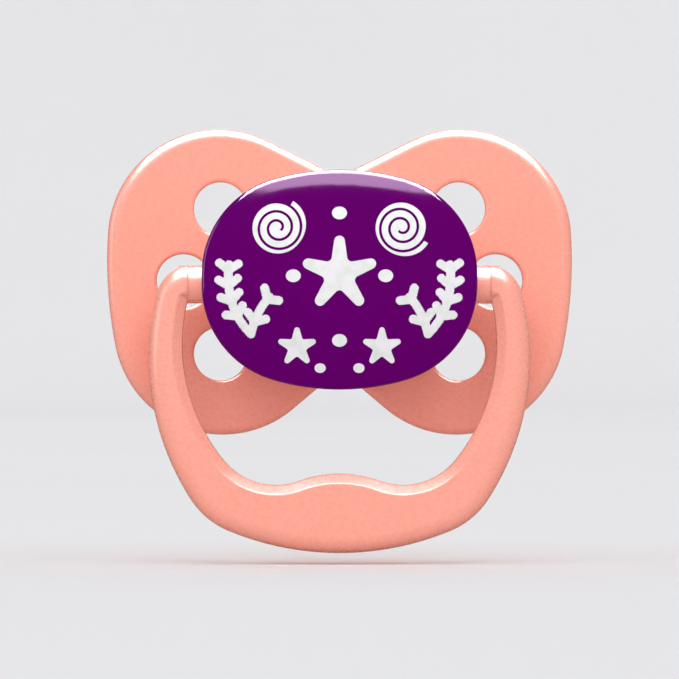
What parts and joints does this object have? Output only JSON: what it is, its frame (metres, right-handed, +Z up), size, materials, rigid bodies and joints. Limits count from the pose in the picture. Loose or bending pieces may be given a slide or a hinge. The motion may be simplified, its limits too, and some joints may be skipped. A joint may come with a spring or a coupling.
{
  "type": "pacifier",
  "caption": "Baby's pacifier with a bowed, vented butterfly shield, a hollow silicone teat, a domed printed button and a swinging ring handle.",
  "frame": {"origin": "point where the teat's axis meets the shield's face side", "axes": "+Y along the teat, towards the mouth; -Y is the button's side; +Z up, towards the nose notch; +X across the wings"},
  "size_m": [0.0514, 0.0414, 0.0466],
  "materials": {
    "coral_plastic": "satin-gloss moulded polypropylene, slightly translucent coral",
    "silicone": "clear moulded silicone, polished bulb",
    "natural_plastic": "natural moulded polypropylene",
    "glow_plastic": "pale phosphorescent plastic, gloss",
    "print_film": null
  },
  "bodies": {
    "guard": {"shield": "coral_plastic", "teat": "silicone", "teat_plug": "natural_plastic", "button_base": "coral_plastic", "button_disc": "glow_plastic", "button_print": "print_film"},
    "ring": {"handle": "coral_plastic"}
  },
  "joints": [
    {"name": "handle_swing", "type": "hinge", "parent": "guard", "child": "ring", "pos_m": [0, -0.01145, -0.0005], "axis": [-1, 0, 0], "range_deg": [-18, 197]}
  ]
}
